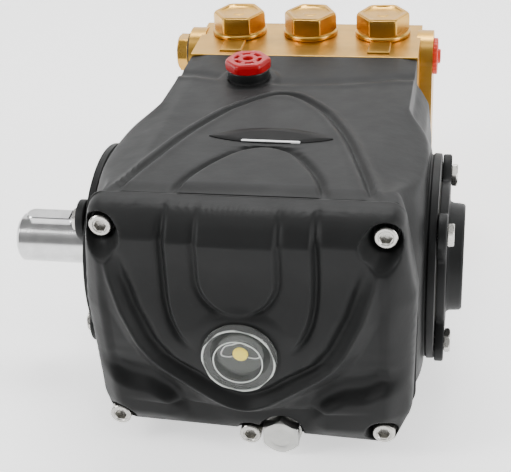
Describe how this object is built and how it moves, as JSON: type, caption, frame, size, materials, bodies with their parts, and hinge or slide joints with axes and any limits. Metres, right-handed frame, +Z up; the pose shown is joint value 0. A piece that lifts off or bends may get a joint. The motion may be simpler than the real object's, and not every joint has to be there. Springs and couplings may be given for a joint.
{
  "type": "pressure washer pump",
  "caption": "Three-plunger pressure washer pump: black cast crankcase with embossed rear cover, keyed drive shaft, sight glass and a brass valve manifold.",
  "frame": {"origin": "centre of the four threaded holes in the base, on the plane the pump stands on; the crank axis is 62 mm straight above it", "axes": "+X towards the closed side cover and the inlet port, so the drive shaft leaves towards -X; +Y towards the brass manifold; +Z up, with the valve caps on top"},
  "size_m": [0.2176, 0.2575, 0.1262],
  "materials": {
    "crankcase_paint": "satin black painted casting",
    "cover_paint": "satin black painted casting",
    "bright_fasteners": "zinc plated screws",
    "ground_steel": "ground and polished steel",
    "drain_steel": "nickel plated plug",
    "brass": "forged and machined brass",
    "bronze_ring": "bronze",
    "valve_steel": "stainless steel",
    "valve_plastic": "natural acetal",
    "cast_aluminium": "machined casting",
    "white_ceramic": "polished ceramic sleeve",
    "black_rubber": "nitrile rubber",
    "clear_glass": "clear moulded window",
    "reflector_grey": "grey reflector",
    "yellow_plastic": "yellow",
    "red_plastic": "red moulded",
    "black_plastic": "black moulded",
    "orange_plastic": "orange-red transit plug"
  },
  "bodies": {
    "pump_body": {"crankcase": "crankcase_paint", "rear_cover": "cover_paint", "rear_cover_gasket": "black_rubber", "rear_cover_screws": "bright_fasteners", "sight_glass": "clear_glass", "oil_level_reflector": "reflector_grey", "oil_level_dot": "yellow_plastic", "drain_plug": "drain_steel", "closed_side_cover": "cover_paint", "shaft_side_cover": "cover_paint", "cover_shims": "ground_steel", "side_cover_screws": "bright_fasteners", "shaft_seal": "black_rubber", "bearing_outer_rings": "ground_steel", "manifold": "brass", "manifold_screws": "bright_fasteners", "valve_caps": "brass", "valve_cap_seals": "black_rubber", "valve_seats": "valve_steel", "valve_cages": "valve_plastic", "discharge_springs": "valve_steel", "suction_springs": "valve_steel", "plunger_seals": "black_rubber", "packing_rings": "bronze_ring", "crosshead_seals": "black_rubber", "port_plugs": "brass", "sealing_washers": "black_rubber"},
    "crank": {"crankshaft": "ground_steel", "shaft_key": "ground_steel", "bearing_inner_rings": "ground_steel"},
    "roller_set": {"bearing_rollers": "ground_steel", "bearing_cages": "bronze_ring"},
    "rod_1": {"con_rod_1": "cast_aluminium"},
    "bush_1": {"small_end_bush_1": "bronze_ring"},
    "pin_1": {"wrist_pin_1": "ground_steel"},
    "ram_1": {"crosshead_1": "cast_aluminium", "plunger_1": "white_ceramic", "plunger_bolt_1": "ground_steel"},
    "rod_2": {"con_rod_2": "cast_aluminium"},
    "bush_2": {"small_end_bush_2": "bronze_ring"},
    "pin_2": {"wrist_pin_2": "ground_steel"},
    "ram_2": {"crosshead_2": "cast_aluminium", "plunger_2": "white_ceramic", "plunger_bolt_2": "ground_steel"},
    "rod_3": {"con_rod_3": "cast_aluminium"},
    "bush_3": {"small_end_bush_3": "bronze_ring"},
    "pin_3": {"wrist_pin_3": "ground_steel"},
    "ram_3": {"crosshead_3": "cast_aluminium", "plunger_3": "white_ceramic", "plunger_bolt_3": "ground_steel"},
    "discharge_plate_1": {"discharge_valve_1": "valve_steel"},
    "discharge_plate_2": {"discharge_valve_2": "valve_steel"},
    "discharge_plate_3": {"discharge_valve_3": "valve_steel"},
    "suction_plate_1": {"suction_valve_1": "valve_steel"},
    "suction_plate_2": {"suction_valve_2": "valve_steel"},
    "suction_plate_3": {"suction_valve_3": "valve_steel"},
    "filler_seal": {"filler_ring": "black_rubber"},
    "filler": {"filler_collar": "black_plastic", "filler_cap": "red_plastic"},
    "transit_stopper": {"transit_plug": "orange_plastic"}
  },
  "joints": [
    {"name": "crank_spin", "type": "hinge", "parent": "pump_body", "child": "crank", "pos_m": [0, 0, 0.062], "axis": [1, 0, 0], "continuous": true},
    {"name": "roller_orbit", "type": "hinge", "parent": "pump_body", "child": "roller_set", "pos_m": [0, 0, 0.062], "axis": [1, 0, 0], "continuous": true},
    {"name": "rod_pivot_1", "type": "hinge", "parent": "crank", "child": "rod_1", "pos_m": [-0.041, 0.005, 0.062], "axis": [1, 0, 0], "continuous": true},
    {"name": "bush_turn_1", "type": "hinge", "parent": "rod_1", "child": "bush_1", "pos_m": [-0.041, 0.069, 0.062], "axis": [1, 0, 0], "continuous": true},
    {"name": "pin_turn_1", "type": "hinge", "parent": "bush_1", "child": "pin_1", "pos_m": [-0.041, 0.0665, 0.062], "axis": [1, 0, 0], "continuous": true},
    {"name": "ram_guide_1", "type": "hinge", "parent": "pin_1", "child": "ram_1", "pos_m": [-0.041, 0.069, 0.062], "axis": [1, 0, 0], "continuous": true},
    {"name": "rod_pivot_2", "type": "hinge", "parent": "crank", "child": "rod_2", "pos_m": [0, -0.0025, 0.06633], "axis": [1, 0, 0], "continuous": true},
    {"name": "bush_turn_2", "type": "hinge", "parent": "rod_2", "child": "bush_2", "pos_m": [0, 0.0615, 0.06633], "axis": [1, 0, 0], "continuous": true},
    {"name": "pin_turn_2", "type": "hinge", "parent": "bush_2", "child": "pin_2", "pos_m": [0, 0.06275, 0.06417], "axis": [1, 0, 0], "continuous": true},
    {"name": "ram_guide_2", "type": "hinge", "parent": "pin_2", "child": "ram_2", "pos_m": [0, 0.0615, 0.062], "axis": [1, 0, 0], "continuous": true},
    {"name": "rod_pivot_3", "type": "hinge", "parent": "crank", "child": "rod_3", "pos_m": [0.041, -0.0025, 0.05767], "axis": [1, 0, 0], "continuous": true},
    {"name": "bush_turn_3", "type": "hinge", "parent": "rod_3", "child": "bush_3", "pos_m": [0.041, 0.0615, 0.05767], "axis": [1, 0, 0], "continuous": true},
    {"name": "pin_turn_3", "type": "hinge", "parent": "bush_3", "child": "pin_3", "pos_m": [0.041, 0.06275, 0.05983], "axis": [1, 0, 0], "continuous": true},
    {"name": "ram_guide_3", "type": "hinge", "parent": "pin_3", "child": "ram_3", "pos_m": [0.041, 0.0615, 0.062], "axis": [1, 0, 0], "continuous": true},
    {"name": "discharge_lift_1", "type": "slide", "parent": "pump_body", "child": "discharge_plate_1", "axis": [0, 0, 1], "range_m": [0, 0.002], "stiffness_N_per_m": 250, "springref_m": -0.003, "deforming": ["discharge_springs"]},
    {"name": "discharge_lift_2", "type": "slide", "parent": "pump_body", "child": "discharge_plate_2", "axis": [0, 0, 1], "range_m": [0, 0.002], "stiffness_N_per_m": 250, "springref_m": -0.003, "deforming": ["discharge_springs"]},
    {"name": "discharge_lift_3", "type": "slide", "parent": "pump_body", "child": "discharge_plate_3", "axis": [0, 0, 1], "range_m": [0, 0.002], "stiffness_N_per_m": 250, "springref_m": -0.003, "deforming": ["discharge_springs"]},
    {"name": "suction_lift_1", "type": "slide", "parent": "pump_body", "child": "suction_plate_1", "axis": [0, 0, 1], "range_m": [0, 0.002], "stiffness_N_per_m": 250, "springref_m": -0.003, "deforming": ["suction_springs"]},
    {"name": "suction_lift_2", "type": "slide", "parent": "pump_body", "child": "suction_plate_2", "axis": [0, 0, 1], "range_m": [0, 0.002], "stiffness_N_per_m": 250, "springref_m": -0.003, "deforming": ["suction_springs"]},
    {"name": "suction_lift_3", "type": "slide", "parent": "pump_body", "child": "suction_plate_3", "axis": [0, 0, 1], "range_m": [0, 0.002], "stiffness_N_per_m": 250, "springref_m": -0.003, "deforming": ["suction_springs"]},
    {"name": "filler_lift", "type": "slide", "parent": "pump_body", "child": "filler_seal", "axis": [0, 0, 1], "range_m": [0, 0.0091]},
    {"name": "filler_turn", "type": "hinge", "parent": "filler_seal", "child": "filler", "pos_m": [-0.0233, 0.0824, 0.1154], "axis": [0, 0, 1], "range_deg": [0, 2160]},
    {"name": "transit_pull", "type": "slide", "parent": "pump_body", "child": "transit_stopper", "axis": [1, 0, 0], "range_m": [0, 0.014]}
  ],
  "couplings": [
    {"joint": "roller_orbit", "follows": "crank_spin", "ratio": 0.43573},
    {"joint": "rod_pivot_1", "follows": "crank_spin", "ratio": -1},
    {"joint": "bush_turn_1", "follows": "crank_spin", "ratio": 1},
    {"joint": "pin_turn_1", "follows": "crank_spin", "ratio": -2},
    {"joint": "ram_guide_1", "follows": "crank_spin", "ratio": 1},
    {"joint": "rod_pivot_2", "follows": "crank_spin", "ratio": -1},
    {"joint": "bush_turn_2", "follows": "crank_spin", "ratio": 1},
    {"joint": "pin_turn_2", "follows": "crank_spin", "ratio": -2},
    {"joint": "ram_guide_2", "follows": "crank_spin", "ratio": 1},
    {"joint": "rod_pivot_3", "follows": "crank_spin", "ratio": -1},
    {"joint": "bush_turn_3", "follows": "crank_spin", "ratio": 1},
    {"joint": "pin_turn_3", "follows": "crank_spin", "ratio": -2},
    {"joint": "ram_guide_3", "follows": "crank_spin", "ratio": 1},
    {"joint": "filler_lift", "follows": "filler_turn", "m_per_rad": 0.00023873}
  ]
}
